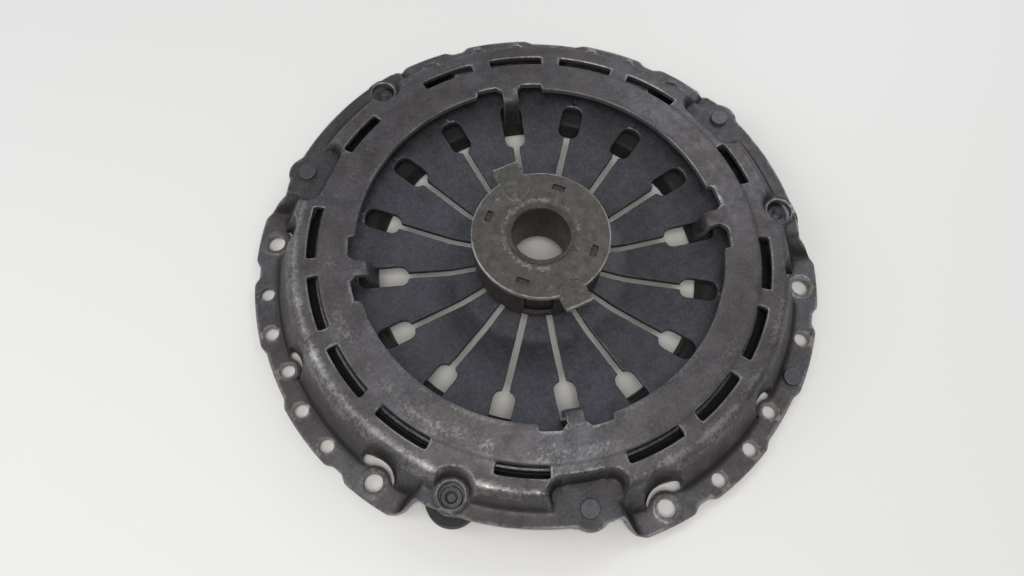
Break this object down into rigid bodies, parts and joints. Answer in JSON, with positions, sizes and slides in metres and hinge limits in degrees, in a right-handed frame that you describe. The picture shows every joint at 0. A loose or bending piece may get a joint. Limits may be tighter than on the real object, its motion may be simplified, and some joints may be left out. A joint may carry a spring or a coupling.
{
  "type": "clutch pressure plate",
  "caption": "Pull-type diaphragm clutch pressure plate: a pressed cover, slotted diaphragm spring, cast plate on drive straps, and a release bearing clipped to the finger tips",
  "frame": {"origin": "centre of the cover's mounting face, on the clutch's axis", "axes": "+Z along the clutch's axis away from the flywheel, towards the gearbox; +X through the middle of the first strap sector; +Y completes the right-handed frame, along one tab of the release bearing"},
  "size_m": [0.2787, 0.2888, 0.0412],
  "materials": {
    "cover_steel": "dark oiled phosphate on pressed steel, worn bare on the shoulder and the lip",
    "spring_steel": "blue-grey heat-treated spring steel, satin",
    "strap_steel": "rolled spring strip, satin",
    "rivet_steel": "formed rivet heads with a dull dark skin",
    "cast_iron": "grey cast iron, machined on the friction face",
    "wire_steel": "drawn wire, satin",
    "bearing_plate_steel": "phosphated plate, mottled with dried grease",
    "housing_steel": "dark phosphated pressing with greasy brown stains",
    "sleeve_steel": "turned sleeve, worn smooth in the bore",
    "bearing_steel": "ground bearing steel",
    "ball_steel": "polished balls",
    "cage_polymer": "moulded cage",
    "seal_rubber": "matt seal rubber"
  },
  "bodies": {
    "cover": {"cover_shell": "cover_steel", "fulcrum_ring": "wire_steel", "diaphragm_spring": "spring_steel", "strap_pack_1": "strap_steel", "strap_pack_2": "strap_steel", "strap_pack_3": "strap_steel", "cover_rivets": "rivet_steel", "balance_rivet": "rivet_steel"},
    "plate": {"pressure_plate": "cast_iron", "plate_rivets": "rivet_steel"},
    "release_hub": {"inner_race": "bearing_steel", "load_washer": "spring_steel", "thrust_ring": "bearing_steel", "snap_ring": "wire_steel"},
    "fork_side": {"fork_plate": "bearing_plate_steel", "guide_sleeve": "sleeve_steel", "bearing_housing": "housing_steel", "outer_race": "bearing_steel", "centring_washer": "wire_steel", "upper_seal": "seal_rubber", "lower_seal": "seal_rubber"},
    "cage": {"ball_cage": "cage_polymer", "bearing_balls": "ball_steel"}
  },
  "joints": [
    {"name": "bearing_pull", "type": "slide", "parent": "cover", "child": "release_hub", "axis": [0, 0, 1], "range_m": [0, 0.009], "stiffness_N_per_m": 20000, "deforming": ["diaphragm_spring"]},
    {"name": "plate_lift", "type": "slide", "parent": "cover", "child": "plate", "axis": [0, 0, 1], "range_m": [0, 0.0016], "stiffness_N_per_m": 100000, "springref_m": -0.005, "deforming": ["strap_pack_1", "strap_pack_2", "strap_pack_3"]},
    {"name": "bearing_spin", "type": "hinge", "parent": "release_hub", "child": "fork_side", "pos_m": [0, 0, 0.025], "axis": [0, 0, 1], "continuous": true},
    {"name": "cage_spin", "type": "hinge", "parent": "release_hub", "child": "cage", "pos_m": [0, 0, 0.025], "axis": [0, 0, 1], "continuous": true}
  ],
  "couplings": [
    {"joint": "plate_lift", "follows": "bearing_pull", "ratio": 0.173},
    {"joint": "cage_spin", "follows": "bearing_spin", "ratio": 0.565}
  ]
}
